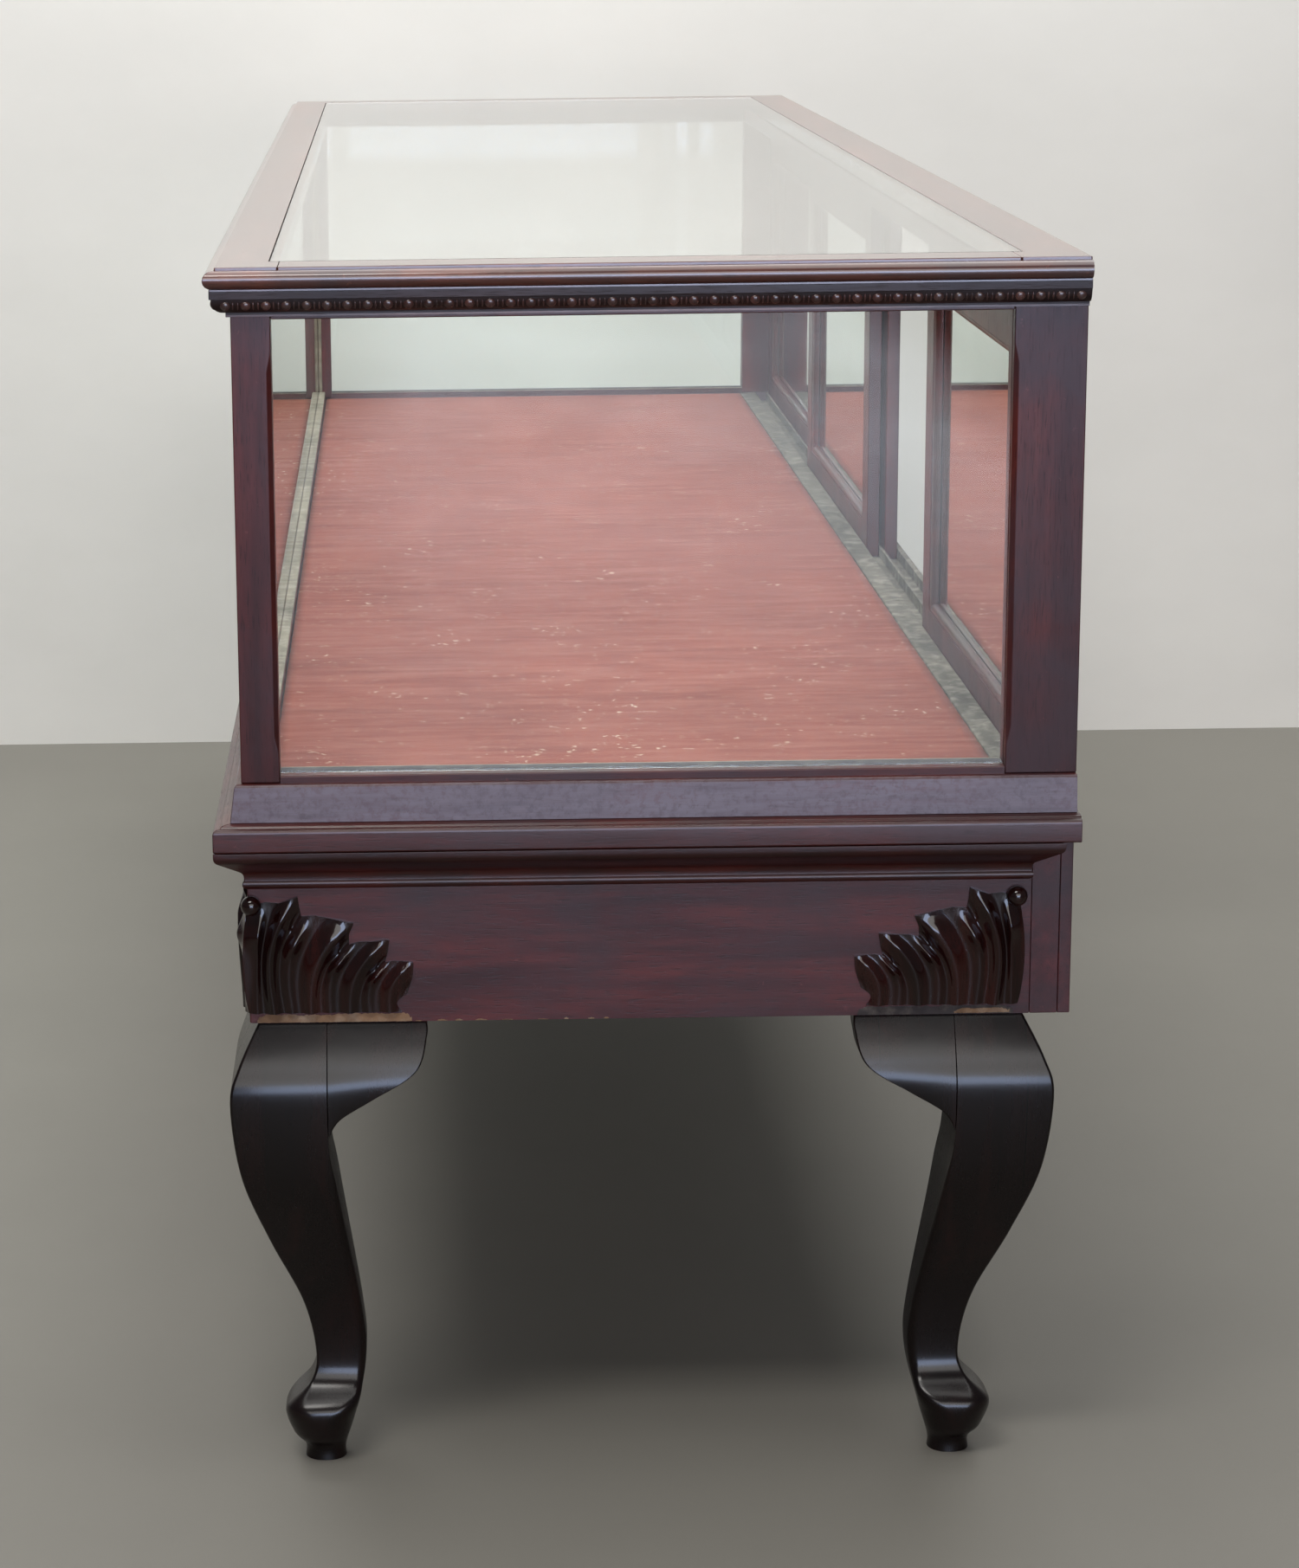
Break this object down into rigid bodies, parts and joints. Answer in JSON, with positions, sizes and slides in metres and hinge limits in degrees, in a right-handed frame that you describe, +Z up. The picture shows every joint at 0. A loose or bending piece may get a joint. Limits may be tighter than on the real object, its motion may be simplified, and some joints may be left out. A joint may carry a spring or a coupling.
{
  "type": "glazed showcase table",
  "caption": "Long table-height wooden shop display case with glass top, front and ends, lined deck, carved cabriole legs and sliding mirror doors at the back.",
  "frame": {"origin": "on the floor under the centre of the case", "axes": "+X along the case, +Z up, -Y the glazed front, +Y the back with the sliding doors"},
  "size_m": [2.444, 0.68, 0.99],
  "materials": {
    "mahogany": "worn satin varnish over red-brown mahogany",
    "dark_mahogany": "dark, glossy old varnish on legs and carvings",
    "pale_wood": "bare pale wood, dusty",
    "glass": "clear polished sheet glass",
    "mirror_glass": "silvered glass with a painted back",
    "red_felt": "faded red lining cloth"
  },
  "bodies": {
    "root": {"apron_back": "mahogany", "apron_back_facing": "mahogany", "apron_front": "mahogany", "apron_left": "mahogany", "apron_right": "mahogany", "cove_moulding_front": "mahogany", "cove_moulding_left": "mahogany", "cove_moulding_right": "mahogany", "deck_board": "pale_wood", "deck_lining": "red_felt", "door_head_rail": "mahogany", "door_sill": "pale_wood", "glass_front": "glass", "glass_left": "glass", "glass_right": "glass", "glass_top": "glass", "head_rail_front": "mahogany", "head_rail_left": "mahogany", "head_rail_right": "mahogany", "knee_wing_end_back_left": "dark_mahogany", "knee_wing_end_back_right": "dark_mahogany", "knee_wing_end_front_left": "dark_mahogany", "knee_wing_end_front_right": "dark_mahogany", "knee_wing_side_back_left": "dark_mahogany", "knee_wing_side_back_right": "dark_mahogany", "knee_wing_side_front_left": "dark_mahogany", "knee_wing_side_front_right": "dark_mahogany", "leaf_mount_back_left": "dark_mahogany", "leaf_mount_back_right": "dark_mahogany", "leaf_mount_front_left": "dark_mahogany", "leaf_mount_front_right": "dark_mahogany", "ledge_front": "mahogany", "ledge_left": "mahogany", "ledge_right": "mahogany", "leg_back_left": "dark_mahogany", "leg_back_right": "dark_mahogany", "leg_front_left": "dark_mahogany", "leg_front_right": "dark_mahogany", "plinth_front": "mahogany", "plinth_left": "mahogany", "plinth_right": "mahogany", "post_back_left": "mahogany", "post_back_right": "mahogany", "post_front_left": "mahogany", "post_front_right": "mahogany", "top_moulding_front": "mahogany", "top_moulding_left": "mahogany", "top_moulding_right": "mahogany", "top_rail_back": "mahogany", "top_rail_front": "mahogany", "top_rail_left": "mahogany", "top_rail_right": "mahogany"},
    "door_a": {"door_a_frame": "mahogany", "door_a_pane": "mirror_glass"},
    "door_b": {"door_b_frame": "mahogany", "door_b_pane": "mirror_glass"},
    "door_c": {"door_c_frame": "mahogany", "door_c_pane": "mirror_glass"},
    "door_d": {"door_d_frame": "mahogany", "door_d_pane": "mirror_glass"}
  },
  "joints": [
    {"name": "door_a_slide", "type": "slide", "parent": "root", "child": "door_a", "axis": [1, 0, 0], "range_m": [-0.43, 0]},
    {"name": "door_b_slide", "type": "slide", "parent": "root", "child": "door_b", "axis": [1, 0, 0], "range_m": [0, 1.03]},
    {"name": "door_c_slide", "type": "slide", "parent": "root", "child": "door_c", "axis": [1, 0, 0], "range_m": [-0.68, 0]},
    {"name": "door_d_slide", "type": "slide", "parent": "root", "child": "door_d", "axis": [1, 0, 0], "range_m": [0, 0.085]}
  ]
}
